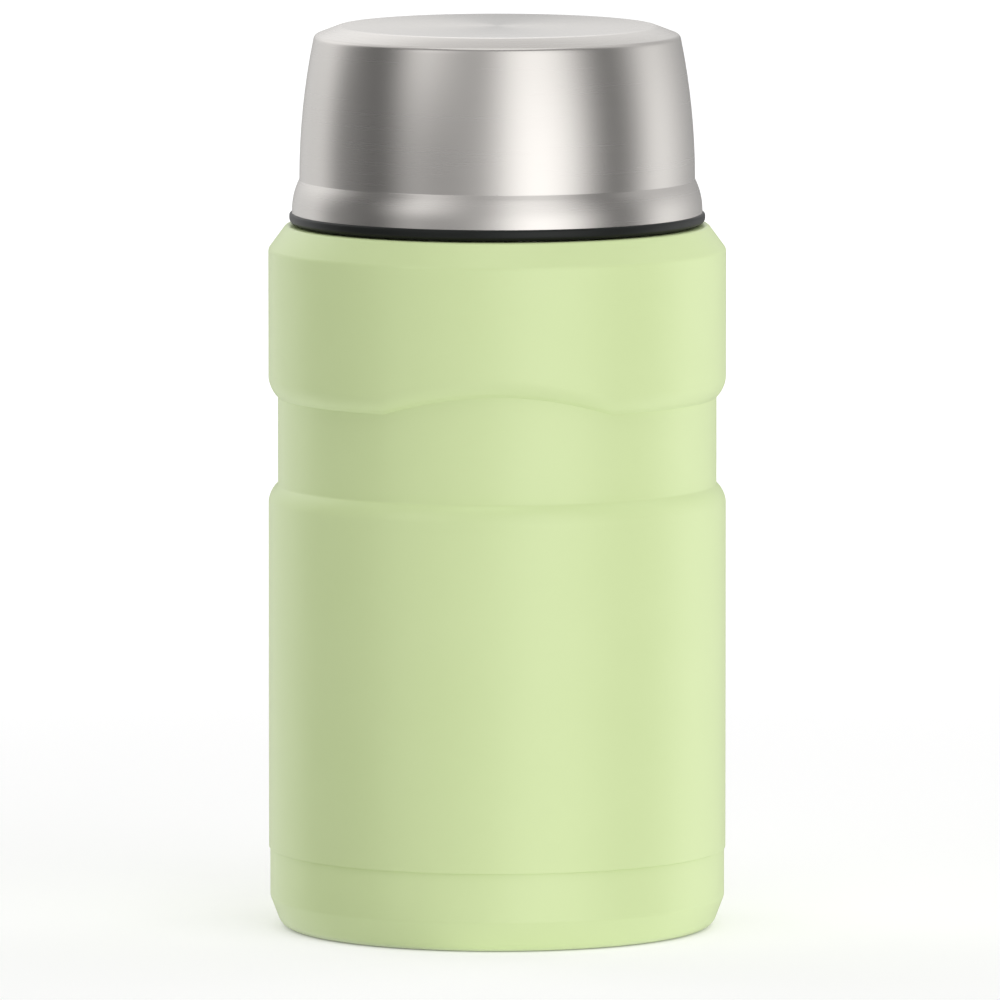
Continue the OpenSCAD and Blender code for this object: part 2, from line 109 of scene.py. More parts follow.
SHELL_R, SEAM_Z, SHELL_TOP = span("outer_shell")
CUP_R, FOOT_Z, SPIGOT_TOP = span("base_cup")
NECK_FLANGE_R, NECK_LOW, NECK_TOP = span("threaded_neck")
VESSEL_R, VESSEL_LOW = span("inner_vessel")[:2]
FLANGE_R, PLUG_LOW, GRIP_TOP = span("stopper_body")
BEAD_R, COLLAR_LOW, COLLAR_TOP = span("bowl_collar")
SKIRT_R, SKIRT_LOW, BOWL_TOP = span("bowl_shell")
print(f"jar {2 * SHELL_R:.1f} mm across, {BOWL_TOP:.1f} mm high, seam at {SEAM_Z:.1f} mm")

# %% Which body each node rides on
BODY_OF = {}
for body, nodes in frame["record"]["behaviour"]["bodies"].items():
    BODY_OF.update({node: body for node in nodes})

# %% [markdown]
# ## Turning pieces
# Nearly every piece of the jar is a turned or spun part, so one way of working makes them all: draw half
# of the section as a line, round its corners, and spin it about the axis. A line of corners with a
# rounding each is quicker to read and to change than a ready-made mesh.

# %% Draw and round a section line
TURN_STEPS = 192
MERGE = 0.0005 * MM


def round_corner(bm, corner, rounding, segments):
    """Replace one corner of a wire with an arc that leaves both of its runs smoothly."""
    one, other = [(edge.other_vert(corner).co - corner.co).normalized() for edge in corner.link_edges]
    turn = math.pi - one.angle(other)
    bmesh.ops.bevel(bm, geom=[corner], offset=rounding * MM * math.tan(turn / 2), offset_type="OFFSET",
                    segments=segments, profile=0.5, affect="VERTICES", material=-1)


def section(corners, closed=False, segments=5):
    """A wire through corners given as (radius, height) or (radius, height, rounding), in millimetres."""
    bm = bmesh.new()
    points = [bm.verts.new((c[0] * MM, 0, c[1] * MM)) for c in corners]
    for start, end in zip(points, points[1:]):
        bm.edges.new((start, end))
    if closed:
        bm.edges.new((points[-1], points[0]))
    for point, corner in zip(points, corners):
        if len(corner) == 3:
            round_corner(bm, point, corner[2], segments)
    return bm


# %% Spin it, and thicken it where it is sheet metal
def spin_round(bm, steps=TURN_STEPS):
    """Spin a wire a full turn about the jar's axis, close its poles and turn its faces outwards."""
    bmesh.ops.spin(bm, geom=bm.verts[:] + bm.edges[:], cent=(0, 0, 0), axis=(0, 0, 1), dvec=(0, 0, 0),
                   angle=math.tau, steps=steps, use_merge=True, use_normal_flip=False,
                   use_duplicate=False)
    bmesh.ops.remove_doubles(bm, verts=bm.verts[:], dist=MERGE)
    bmesh.ops.recalc_face_normals(bm, faces=bm.faces[:])
    return bm


def thicken(bm, wall):
    """Give a spun skin its sheet thickness, inwards from the face that was drawn."""
    bmesh.ops.solidify(bm, geom=bm.faces[:], thickness=wall * MM)
    return bm


# %% Turn a finished mesh into a piece of the jar
CREASE = math.radians(28)


def make_piece(bm, name, node, material):
    """The piece stands in for a node, whose mesh it hides, and rides on the node's body."""
    for face in bm.faces:
        face.smooth = True
    mesh = bpy.data.meshes.new(name)
    bm.to_mesh(mesh)
    bm.free()
    mesh.set_sharp_from_angle(angle=CREASE)
    mesh.materials.append(material)
    piece = bpy.data.objects.new(name, mesh)
    bpy.context.scene.collection.objects.link(piece)
    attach(piece, BODY_OF[node])
    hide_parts(node)
    print(f"{name}: {len(mesh.polygons)} faces, {2000 * max(v.co.x for v in mesh.vertices):.1f} mm across")
    return piece


# %% [markdown]
# ## Node helpers
# Materials are small graphs. These helpers keep each graph to a few readable lines: one adds a node and
# fills its sockets, one starts a group that several materials share, one starts a material with its plain
# numbers set on the shader itself.

# %% Build node graphs in short lines
def add_node(tree, kind, inputs=None, **settings):
    """Add a shader node, change its settings, and fill inputs with values or with links."""
    made = tree.nodes.new("ShaderNode" + kind)
    for name, value in settings.items():
        setattr(made, name, value)
    for name, value in (inputs or {}).items():
        if isinstance(value, bpy.types.NodeSocket):
            tree.links.new(value, made.inputs[name])
        else:
            made.inputs[name].default_value = value
    return made


def math_node(tree, operation, *values):
    """One step of arithmetic; returns its result socket."""
    return add_node(tree, "Math", dict(enumerate(values)), operation=operation).outputs[0]


def start_group(name, inputs, output):
    """An empty node group with number inputs and one number output."""
    group = bpy.data.node_groups.new(name, "ShaderNodeTree")
    for label, value in inputs.items():
        socket = group.interface.new_socket(label, in_out="INPUT", socket_type="NodeSocketFloat")
        socket.default_value = value
    group.interface.new_socket(output, in_out="OUTPUT", socket_type="NodeSocketFloat")
    return group, group.nodes.new("NodeGroupInput"), group.nodes.new("NodeGroupOutput")


def use_group(tree, group, **values):
    """Place a group in a material with its own values; returns its first output."""
    placed = add_node(tree, "Group", node_tree=group)
    for label, value in values.items():
        placed.inputs[label.replace("_", " ").capitalize()].default_value = value
    return placed.outputs[0]


# %% Start a material
def screen_colour(red, green, blue):
    """A colour picked on screen, 0 to 255, as the linear values that a shader wants."""
    shares = [value / 255 for value in (red, green, blue)]
    return [s / 12.92 if s <= 0.04045 else ((s + 0.055) / 1.055) ** 2.4 for s in shares] + [1]


def start_material(name, colour, roughness, metallic=0.0, anisotropic=0.0, specular=0.5):
    material = bpy.data.materials.new(name)
    material.use_nodes = True
    tree = material.node_tree
    shader = tree.nodes["Principled BSDF"]
    shader.inputs["Base Color"].default_value = colour
    shader.inputs["Roughness"].default_value = roughness
    shader.inputs["Metallic"].default_value = metallic
    shader.inputs["Anisotropic"].default_value = anisotropic
    shader.inputs["Specular IOR Level"].default_value = specular
    return material, tree, shader


def vary(tree, shader, label, pattern, low, high):
    """Let a pattern from 0 to 1 move one of the shader's numbers between two values."""
    ramp = add_node(tree, "MapRange", {"Value": pattern, "To Min": low, "To Max": high})
    tree.links.new(ramp.outputs[0], shader.inputs[label])


def tint(tree, shader, pattern, dark, light):
    """Let a pattern from 0 to 1 move the base colour between two colours."""
    mix = add_node(tree, "Mix", data_type="RGBA")
    tree.links.new(pattern, mix.inputs["Factor"])
    colour_sockets = [socket for socket in mix.inputs if socket.type == "RGBA"]
    colour_sockets[0].default_value = dark
    colour_sockets[1].default_value = light
    result = [socket for socket in mix.outputs if socket.type == "RGBA"][0]
    tree.links.new(result, shader.inputs["Base Color"])
    return result


def raise_surface(tree, shader, height, depth):
    """Use a height pattern as a bump of that depth, in millimetres."""
    bump = add_node(tree, "Bump", {"Height": height, "Strength": 1.0, "Distance": depth * MM})
    tree.links.new(bump.outputs[0], shader.inputs["Normal"])


# %% [markdown]
# ## Shared surface patterns
# Three patterns return on several pieces. Brushed lines run round the axis, because the steel is turned
# while an abrasive is held against it. A soft mottling stands for the slightly uneven gloss of any worked
# surface. A pebbled grain stands for powder coat and for moulded plastic, at different sizes. Each is a
# group that reads object coordinates, so the pattern is fixed to the metal.

# %% Lines brushed round the axis
def make_brushed_lines():
    """Streaks that run round the axis and change quickly along the surface, on walls and on flat tops."""
    group, given, result = start_group("brushed lines", {"Length": 90.0, "Spacing": 0.35}, "Streaks")
    place = add_node(group, "TexCoord").outputs["Object"]
    split = add_node(group, "SeparateXYZ", {0: place})
    along = math_node(group, "DIVIDE", 1000.0, given.outputs["Length"])
    across = math_node(group, "DIVIDE", 1000.0, given.outputs["Spacing"])
    squares = [math_node(group, "MULTIPLY", split.outputs[i], split.outputs[i]) for i in (0, 1)]
    radius = math_node(group, "SQRT", math_node(group, "ADD", *squares))
    climb = math_node(group, "SUBTRACT", split.outputs[2], radius)
    point = add_node(group, "CombineXYZ", {
        0: math_node(group, "MULTIPLY", split.outputs[0], along),
        1: math_node(group, "MULTIPLY", split.outputs[1], along),
        2: math_node(group, "MULTIPLY", climb, across)})
    streaks = add_node(group, "TexNoise", {"Vector": point.outputs[0], "Scale": 1.0, "Detail": 2.0,
                                           "Roughness": 0.5})
    group.links.new(streaks.outputs[0], result.inputs[0])
    return group


# %% Soft mottling and pebbled grain
def make_noise_pattern(name, size, detail):
    """Plain noise of one size in millimetres, for gloss that is never quite even."""
    group, given, result = start_group(name, {"Size": size}, "Pattern")
    scale = math_node(group, "DIVIDE", 1000.0, given.outputs["Size"])
    pattern = add_node(group, "TexNoise", {"Vector": add_node(group, "TexCoord").outputs["Object"],
                                           "Scale": scale, "Detail": detail, "Roughness": 0.5})
    group.links.new(pattern.outputs[0], result.inputs[0])
    return group


BRUSHED_LINES = make_brushed_lines()
MOTTLING = make_noise_pattern("mottling", size=12.0, detail=2.0)
PEBBLES = make_noise_pattern("pebbles", size=0.5, detail=1.0)
print("patterns:", BRUSHED_LINES.name, MOTTLING.name, PEBBLES.name, sep=", ")

# %% [markdown]
# ## Powder coat
# The body is coated with a pale green powder that melts to an even, satin skin. Its gloss comes from a
# middling roughness, and its life from a very fine orange peel. A strong bump would look like cast metal,
# so the peel is only a few thousandths of a millimetre deep.

# %% Make the powder coat
PAINT = screen_colour(212, 228, 171)
PAINT_DEEP = screen_colour(209, 226, 167)
COAT_ROUGHNESS, COAT_SWING = 0.32, 0.02
PEEL_SIZE, PEEL_DEPTH = 0.7, 0.004


def make_powder_coat():
    material, tree, shader = start_material("powder coat", PAINT, COAT_ROUGHNESS, specular=0.45)
    mottling = use_group(tree, MOTTLING, size=18.0)
    tint(tree, shader, mottling, PAINT_DEEP, PAINT)
    vary(tree, shader, "Roughness", mottling, COAT_ROUGHNESS - COAT_SWING, COAT_ROUGHNESS + COAT_SWING)
    raise_surface(tree, shader, use_group(tree, PEBBLES, size=PEEL_SIZE), PEEL_DEPTH)
    return material


powder_coat = make_powder_coat()
print(f"{powder_coat.name}: peel {PEEL_DEPTH} mm deep")

# %% [markdown]
# ## Steels
# The bowl's outside is brushed in fine lines round the axis, which stretch each reflection upright into
# soft bands. The shader's anisotropy, with a tangent that runs round the axis, does that stretching. The
# lines themselves are a shallow bump that only shows near highlights. The inside skins are
# electropolished: the same metal, smoother and without lines.

# %% Make the steels
STEEL = [0.57, 0.549, 0.525, 1]
STEEL_DEEP = [0.565, 0.544, 0.52, 1]
BRUSHED_SWING = 0.01
POLISH_LOW, POLISH_HIGH = 0.17, 0.26


def make_brushed_steel(name, roughness, anisotropic, spacing, depth):
    material, tree, shader = start_material(name, STEEL, roughness, 1.0, anisotropic)
    tangent = add_node(tree, "Tangent", direction_type="RADIAL", axis="Z")
    tree.links.new(tangent.outputs[0], shader.inputs["Tangent"])
    streaks = use_group(tree, BRUSHED_LINES, spacing=spacing)
    tint(tree, shader, streaks, STEEL_DEEP, STEEL)
    vary(tree, shader, "Roughness", streaks, roughness - BRUSHED_SWING, roughness + BRUSHED_SWING)
    raise_surface(tree, shader, streaks, depth)
    return material


def make_polished_steel():
    material, tree, shader = start_material("polished steel", STEEL, 0.2, metallic=1.0)
    mottling = use_group(tree, MOTTLING, size=9.0)
    tint(tree, shader, mottling, STEEL_DEEP, STEEL)
    vary(tree, shader, "Roughness", mottling, POLISH_LOW, POLISH_HIGH)
    raise_surface(tree, shader, use_group(tree, PEBBLES, size=1.6), depth=0.002)
    return material


bowl_steel = make_brushed_steel("brushed bowl steel", roughness=0.27, anisotropic=0.6, spacing=0.3,
                                depth=0.0002)
turned_steel = make_brushed_steel("turned steel", roughness=0.26, anisotropic=0.4, spacing=0.5,
                                  depth=0.002)
polished_steel = make_polished_steel()
print("steels:", bowl_steel.name, turned_steel.name, polished_steel.name, sep=", ")

# %% [markdown]
# ## Plastics, silicone and foam
# The collar and the stopper are satin mouldings, nearly black, whose tool was lightly blasted, so they
# have a fine even grain. The seal is translucent silicone. The foam is pressed from beads, which stay
# visible as soft cells.

# %% Make the mouldings
MOULDED_LIGHTER = 1.25
SATIN_BELOW, SATIN_ABOVE = 0.04, 0.05


def make_moulding(name, colour, roughness, grain, depth, specular=0.5):
    material, tree, shader = start_material(name, colour, roughness, specular=specular)
    mottling = use_group(tree, MOTTLING, size=8.0)
    lighter = [min(1, channel * MOULDED_LIGHTER) for channel in colour[:3]] + [1]
    tint(tree, shader, mottling, colour, lighter)
    vary(tree, shader, "Roughness", mottling, roughness - SATIN_BELOW, roughness + SATIN_ABOVE)
    raise_surface(tree, shader, use_group(tree, PEBBLES, size=grain), depth)
    return material


black_plastic = make_moulding("black moulding", screen_colour(22, 24, 23), roughness=0.42, grain=0.35,
                              depth=0.004, specular=0.22)
grey_plastic = make_moulding("grey moulding", screen_colour(88, 90, 93), roughness=0.45, grain=0.35,
                             depth=0.004)
silicone = make_moulding("seal silicone", screen_colour(190, 192, 189), roughness=0.5, grain=0.9,
                         depth=0.003)
print("mouldings:", black_plastic.name, grey_plastic.name, silicone.name, sep=", ")

# %% Make the foam
FOAM = screen_colour(240, 237, 228)
# The darker foam colour is painted shade, laid in the creases between the beads.
FOAM_CREASE_SHADE = screen_colour(214, 210, 198)
BEADS_PER_METRE = 330.0
BEAD_EDGE, BEAD_DEPTH = 0.25, 0.25


def make_bead_foam():
    """Pressed beads: rounded cells about 3 mm across, with painted shade in the creases where they meet."""
    material, tree, shader = start_material("bead foam", FOAM, 0.85)
    place = add_node(tree, "TexCoord").outputs["Object"]
    cells = add_node(tree, "TexVoronoi", {"Vector": place, "Scale": BEADS_PER_METRE},
                     feature="DISTANCE_TO_EDGE")
    dome = add_node(tree, "MapRange", {"Value": cells.outputs[0], "From Max": BEAD_EDGE})
    tint(tree, shader, dome.outputs[0], FOAM_CREASE_SHADE, FOAM)
    raise_surface(tree, shader, dome.outputs[0], BEAD_DEPTH)
    return material


bead_foam = make_bead_foam()
print(f"{bead_foam.name}: beads {1000 / BEADS_PER_METRE:.1f} mm across")

# %% [markdown]
# ## Small hidden metals
# Foil round the vessel throws heat back, a sintered pellet soaks up stray gas, and a drop of solder
# closes the hole through which the air was drawn out.

# %% Make foil, pellet and solder
MOTTLING_PER_GRAIN = 6
METAL_BELOW, METAL_ABOVE = 0.06, 0.08


def make_small_metal(name, dark, light, roughness, grain, depth):
    material, tree, shader = start_material(name, light, roughness, metallic=1.0)
    mottling = use_group(tree, MOTTLING, size=grain * MOTTLING_PER_GRAIN)
    tint(tree, shader, mottling, dark, light)
    vary(tree, shader, "Roughness", mottling, roughness - METAL_BELOW, roughness + METAL_ABOVE)
    raise_surface(tree, shader, use_group(tree, PEBBLES, size=grain), depth)
    return material


foil = make_small_metal("reflecting foil", [0.72, 0.7, 0.66, 1], [0.9, 0.88, 0.84, 1],
                        roughness=0.2, grain=4.0, depth=0.12)
pellet = make_small_metal("sintered pellet", [0.2, 0.2, 0.21, 1], [0.32, 0.32, 0.33, 1],
                          roughness=0.6, grain=0.3, depth=0.03)
solder = make_small_metal("solder", [0.5, 0.5, 0.5, 1], [0.72, 0.72, 0.71, 1],
                          roughness=0.22, grain=0.8, depth=0.02)
print("small metals:", foil.name, pellet.name, solder.name, sep=", ")

# %% [markdown]
# ## Painted shell
# The shell is one drawn steel sheet with a band pressed in round it. Each lip of the band leaves the wall
# in a soft arc and ends in a crisper corner. In front, the upper lip arches up over the middle. Spinning
# the plain section and then lifting the upper lip is simpler than modelling the arch by itself, and the
# wall above it is straight, so nothing there is bent.

# %% Work out the band's section
SHEET = 0.6
BAND_FLOOR, BAND_TALL, BAND_DEEP = 99.2, 19.5, 2.1
LIP_SLOPE = 1.793
LOWER_LIP_ROUND, LOWER_CORNER_ROUND = 5.1, 0.8
UPPER_LIP_ROUND, UPPER_CORNER_ROUND = 5.75, 0.2
BAND_R = SHELL_R - BAND_DEEP
UPPER_CORNER = BAND_FLOOR + BAND_TALL
UPPER_BEND = UPPER_CORNER + LIP_SLOPE
SHOULDER_TALL, SHOULDER_IN = 5.3, 3.9
SHOULDER_ROUND, SHOULDER_EDGE_ROUND = 1.5, 1.0
SEAM_LIP, SHELL_SEAM_ROUND = 0.5, 0.1
NECK_FLANGE, NECK_GAP = 3.6, 0.1
NECK_R = NECK_FLANGE_R - NECK_FLANGE
SHELL_STEPS = 360

shell_section = [
    (SHELL_R - SEAM_LIP, SEAM_Z), (SHELL_R, SEAM_Z, SHELL_SEAM_ROUND),
    (SHELL_R, BAND_FLOOR - LIP_SLOPE, LOWER_LIP_ROUND), (BAND_R, BAND_FLOOR, LOWER_CORNER_ROUND),
    (BAND_R, UPPER_CORNER, UPPER_CORNER_ROUND), (SHELL_R, UPPER_BEND, UPPER_LIP_ROUND),
    (SHELL_R, SHELL_TOP - SHOULDER_TALL, SHOULDER_ROUND),
    (SHELL_R - SHOULDER_IN, SHELL_TOP, SHOULDER_EDGE_ROUND), (NECK_R + NECK_GAP, SHELL_TOP)]
print(f"band {BAND_TALL} mm tall and {BAND_DEEP} mm deep, {BAND_FLOOR} mm above the floor")

# %% Spin the shell and lift the arch
ARCH_RISE, ARCH_HALF = 4.4, 25.0
ARCH_SOFT = 0.02
LIFT_BELOW, LIFT_ABOVE = 1, 4
LIP_SEGMENTS = 8


def arch_lift(x):
    """Rise of the upper lip at a distance x from the middle: a parabola that fades in softly."""
    share = 1 - (x / ARCH_HALF) ** 2
    return ARCH_RISE * (share + math.sqrt(share * share + ARCH_SOFT * ARCH_SOFT)) / 2


shell = spin_round(section(shell_section, segments=LIP_SEGMENTS), SHELL_STEPS)
for vert in shell.verts:
    x, y, z = (c / MM for c in vert.co)
    if y < 0 and UPPER_CORNER - LIFT_BELOW < z < UPPER_BEND + LIFT_ABOVE:
        vert.co.z += arch_lift(x) * MM
make_piece(thicken(shell, SHEET), "shell_painted", "outer_shell", powder_coat)

# %% [markdown]
# ## Base cup
# A second painted pressing closes the shell from below. Its rim slides into the shell and its wall stands
# a hair inside it, so the joint shows as a fine line round the jar. The middle is sunk, and the jar
# stands on the ring round it.

# %% Spin the base cup
FOOT_IN, FOOT_TALL = 2.6, 6.8
FOOT_ROUND, WALL_ROUND, CUP_SEAM_ROUND = 2.9, 2.0, 0.05
RING_IN, RING_SLOPE, RING_ROUND = 5.9, 1.5, 1.0
SUNK_TALL = 3.0
HOLE_R = 1.5
SPIGOT_GAP = 0.1
FOOT_R = CUP_R - FOOT_IN
RING_R = FOOT_R - RING_IN
SUNK_Z = FOOT_Z + SUNK_TALL
SPIGOT_R = SHELL_R - SHEET - SPIGOT_GAP

cup = section([
    (HOLE_R, SUNK_Z), (RING_R - RING_SLOPE, SUNK_Z, RING_ROUND), (RING_R, FOOT_Z, RING_ROUND),
    (FOOT_R, FOOT_Z, FOOT_ROUND), (CUP_R, FOOT_TALL, WALL_ROUND), (CUP_R, SEAM_Z, CUP_SEAM_ROUND),
    (SPIGOT_R, SEAM_Z), (SPIGOT_R, SPIGOT_TOP)])
make_piece(thicken(spin_round(cup, SHELL_STEPS), SHEET), "base_cup_painted", "base_cup", powder_coat)

# %% [markdown]
# ## Plate and solder under the base
# A thin steel plate is glued over the sunk middle and hides the solder that closed the vacuum. A shallow
# ring pressed into it keeps such a plate flat.

# %% Spin the plate and the solder
PLATE_R, PLATE_LOW, PLATE_TOP = span("base_disc")
PRESSED_R, PRESSED_SLOPE, PRESSED_TALL = 25, 1, 0.3
PLATE_WALL, PLATE_EDGE, PLATE_ROUND = 0.8, 3, 0.5
pressed_z = PLATE_LOW + PRESSED_TALL
plate = section([
    (0, pressed_z), (PRESSED_R - PRESSED_SLOPE, pressed_z, PLATE_ROUND),
    (PRESSED_R, PLATE_LOW, PLATE_ROUND), (PLATE_R, PLATE_LOW, PLATE_ROUND), (PLATE_R, PLATE_TOP),
    (PLATE_R - PLATE_EDGE, PLATE_TOP), (PLATE_R - PLATE_EDGE, PLATE_LOW + PLATE_WALL),
    (PRESSED_R, PLATE_LOW + PLATE_WALL, PLATE_ROUND),
    (PRESSED_R - PRESSED_SLOPE, pressed_z + PLATE_WALL, PLATE_ROUND), (0, pressed_z + PLATE_WALL)])
make_piece(spin_round(plate), "base_plate", "base_disc", turned_steel)

DROP_R, DROP_LOW, DROP_TOP = span("vacuum_seal_bead")
DROP_IN, DROP_ROUND = 0.5, 1.2
DROP_EDGE_ROUND, DROP_END_ROUND = 0.1, 0.2
DROP_GAP = 0.1
DROP_STEPS = 48
stem_r = HOLE_R - DROP_GAP
drop = section([
    (0, DROP_LOW), (DROP_R - DROP_IN, DROP_LOW, DROP_ROUND), (DROP_R, SUNK_Z, DROP_EDGE_ROUND),
    (stem_r, SUNK_Z), (stem_r, DROP_TOP - DROP_GAP, DROP_END_ROUND), (0, DROP_TOP)])
make_piece(spin_round(drop, DROP_STEPS), "solder_drop", "vacuum_seal_bead", solder)

# %% [markdown]
# ## Screw ridges
# A screw ridge is a small trapezoid that climbs as it goes round. The spin operator can move its copy a
# little along the axis at every step, which makes exactly that. Both ends then run out into the wall, as
# a cut or rolled thread does.

# %% Spin a ridge that climbs
PITCH, TURNS = 4.0, 1.25
RIDGE_DEEP, RIDGE_ROOT, RIDGE_CREST = 1.2, 2.4, 1.0
RIDGE_SINK = 0.25
RIDGE_STEPS = 120
RIDGE_FADE, RIDGE_END = 0.07, 0.1


def add_ridge(bm, wall_r, start_z, side):
    """Add a ridge to a piece; side is 1 outside a wall and -1 inside a bore."""
    low, crest = RIDGE_ROOT / 2, RIDGE_CREST / 2
    foot_r, top_r = wall_r - side * RIDGE_SINK, wall_r + side * RIDGE_DEEP
    corners = [(foot_r, -low), (top_r, -crest), (top_r, crest), (foot_r, low)]
    ring = [bm.verts.new((r * MM, 0, (start_z + z) * MM)) for r, z in corners]
    edges = [bm.edges.new((ring[i], ring[(i + 1) % 4])) for i in range(4)]
    before = set(bm.faces)
    end = bmesh.ops.spin(bm, geom=ring + edges, cent=(0, 0, 0), axis=(0, 0, 1),
                         dvec=(0, 0, PITCH * TURNS / RIDGE_STEPS * MM), angle=math.tau * TURNS,
                         steps=RIDGE_STEPS, use_merge=False, use_normal_flip=False,
                         use_duplicate=False)["geom_last"]
    for rim in (edges, [part for part in end if isinstance(part, bmesh.types.BMEdge)]):
        bmesh.ops.edgeloop_fill(bm, edges=rim)
    faces = [face for face in bm.faces if face not in before]
    fade_ends(faces, wall_r, start_z, side)
    bmesh.ops.recalc_face_normals(bm, faces=faces)


def fade_ends(faces, wall_r, start_z, side):
    """Sink both ends of a ridge towards its wall."""
    for vert in {vert for face in faces for vert in face.verts}:
        radius = math.hypot(vert.co.x, vert.co.y) / MM
        if side * (radius - wall_r) < RIDGE_DEEP / 2:
            continue
        middle = vert.co.z / MM - start_z
        # Rounding picks this shift, nearly always the upper corner's. So the crest's lower edge runs out
        # over a longer way at the start, and hardly at the end.
        middle -= RIDGE_CREST / 2 if (middle / PITCH * RIDGE_STEPS / TURNS) % 1 > 0.5 else -RIDGE_CREST / 2
        share = min(max(middle / (PITCH * TURNS), 0), 1)
        height = RIDGE_DEEP * max(RIDGE_END, min(1, share / RIDGE_FADE, (1 - share) / RIDGE_FADE))
        vert.co.xy *= (wall_r + side * height) / radius


print(f"ridges {RIDGE_DEEP} mm deep, {TURNS} turns at {PITCH} mm a turn")

# %% [markdown]
# ## Neck
# The outside thread for the bowl is on a short steel sleeve, welded under the shoulder and to the
# vessel's lip.

# %% Spin the neck
NECK_WALL = 0.5
COLLAR_LAND = 0.8
MATE_THREAD_Z = COLLAR_LOW + COLLAR_LAND + RIDGE_ROOT / 2
NECK_THREAD_Z = MATE_THREAD_Z + PITCH / 2

neck = spin_round(section([
    (NECK_FLANGE_R, NECK_LOW + NECK_WALL), (NECK_R, NECK_LOW + NECK_WALL), (NECK_R, NECK_TOP),
    (NECK_R - NECK_WALL, NECK_TOP), (NECK_R - NECK_WALL, NECK_LOW), (NECK_FLANGE_R, NECK_LOW)],
    closed=True))
add_ridge(neck, NECK_R, NECK_THREAD_Z, 1)
make_piece(neck, "neck_sleeve", "threaded_neck", turned_steel)

# %% [markdown]
# ## Inner vessel
# The food is held by a deep-drawn steel vessel that narrows to the mouth, where its lip turns out over
# the neck. The stopper's thread is rolled into the mouth.

# %% Spin the vessel
VESSEL_WALL = 0.5
VESSEL_ROUND = 9.0
NARROWING_TALL, NARROWING_ROUND = 8, 6.0
LIP_ROUND = 0.3
MOUTH_IN = 1.7
THREAD_GAP = 0.4
PLUG_LAND = 6.7
MOUTH_R = NECK_R - MOUTH_IN
STOPPER_LOW = span("stopper_cup")[1]
PLUG_R = MOUTH_R - VESSEL_WALL - RIDGE_DEEP - THREAD_GAP
PLUG_THREAD_Z = STOPPER_LOW + PLUG_LAND + RIDGE_ROOT / 2

vessel = thicken(spin_round(section([
    (0, VESSEL_LOW), (VESSEL_R, VESSEL_LOW, VESSEL_ROUND),
    (VESSEL_R, STOPPER_LOW - NARROWING_TALL, NARROWING_ROUND),
    (MOUTH_R, STOPPER_LOW, NARROWING_ROUND), (MOUTH_R, NECK_TOP, LIP_ROUND),
    (NECK_R, NECK_TOP)])), VESSEL_WALL)
add_ridge(vessel, MOUTH_R - VESSEL_WALL, PLUG_THREAD_Z + PITCH / 2, -1)
make_piece(vessel, "vessel_inner", "inner_vessel", polished_steel)

# %% [markdown]
# ## Foil round the vessel
# The foil is wrapped by hand, so it is never smooth. Noise that is the same on every run pushes a fine spun
# sheet outwards by less than the space around it. A drawing of each crease would take long and show no
# more, because the foil is closed in.

# %% Wrap the foil
FOIL_R, FOIL_LOW, FOIL_TOP = span("radiation_foil")
FOIL_ROWS = 60
FOIL_WALL = 0.1
CRINKLE, CRINKLES_PER_METRE = 0.25, 160

wrap = section([(FOIL_R, FOIL_LOW + (FOIL_TOP - FOIL_LOW) * i / FOIL_ROWS) for i in range(FOIL_ROWS + 1)])
spin_round(wrap)
for vert in wrap.verts:
    push = CRINKLE * (1 + noise.noise(vert.co * CRINKLES_PER_METRE)) / 2
    vert.co.xy *= 1 + push * MM / vert.co.xy.length
make_piece(thicken(wrap, FOIL_WALL), "foil_wrap", "radiation_foil", foil)

# %% [markdown]
# ## Getter
# The pellet and the strip that holds it are already right in the construction model, so they only get
# their finish.

# %% Finish the carried-over nodes
for node, material in (("getter", pellet), ("getter_clip", turned_steel)):
    frame["nodes"][node].data.materials.clear()
    frame["nodes"][node].data.materials.append(material)
    print(f"{node}: {material.name}")

# %% [markdown]
# ## Stopper
# One moulding makes the stopper's flange, its hand grip and its threaded plug. The grip has finger
# hollows all round. They are pressed into the spun mesh by moving its points towards the axis, which
# keeps the even quads that a cut would break up.

# %% Spin the stopper and press the finger hollows
PLUG_WALL = 2.0
GRIP_R, GRIP_WALL, GRIP_RIM, GRIP_DISH = 27.0, 4.0, 6.0, 1.5
GRIP_ROUND, INNER_ROUND = 1.5, 1.0
FLANGE_TALL, FLANGE_EDGE_ROUND = 3.0, 0.4
FLANGE_LOW = span("stopper_seal")[2]
FLANGE_TOP = FLANGE_LOW + FLANGE_TALL
HOLLOWS, HOLLOW_R, HOLLOW_DEEP = 12, 4.0, 1.6
HOLLOW_FOOT, HOLLOW_RUNOUT, HOLLOW_RIM = 1, 1.6, 3
DISH_SLOPE = 1
STOPPER_STEPS = 288
DISH_Z = GRIP_TOP - GRIP_DISH
DISH_R = GRIP_R - GRIP_RIM

stopper = section([
    (PLUG_R - PLUG_WALL, PLUG_LOW), (PLUG_R, PLUG_LOW), (PLUG_R, FLANGE_LOW),
    (FLANGE_R, FLANGE_LOW, FLANGE_EDGE_ROUND), (FLANGE_R, FLANGE_TOP, INNER_ROUND),
    (GRIP_R, FLANGE_TOP, INNER_ROUND), (GRIP_R, FLANGE_TOP + HOLLOW_RUNOUT),
    (GRIP_R, FLANGE_TOP + 2 * HOLLOW_RUNOUT), (GRIP_R, GRIP_TOP, GRIP_ROUND),
    (DISH_R, GRIP_TOP, INNER_ROUND), (DISH_R - DISH_SLOPE, DISH_Z), (0, DISH_Z),
    (0, DISH_Z - PLUG_WALL), (GRIP_R - GRIP_WALL, DISH_Z - PLUG_WALL),
    (GRIP_R - GRIP_WALL, FLANGE_LOW), (PLUG_R - PLUG_WALL, FLANGE_LOW), (PLUG_R - PLUG_WALL, PLUG_LOW)])
spin_round(stopper, STOPPER_STEPS)


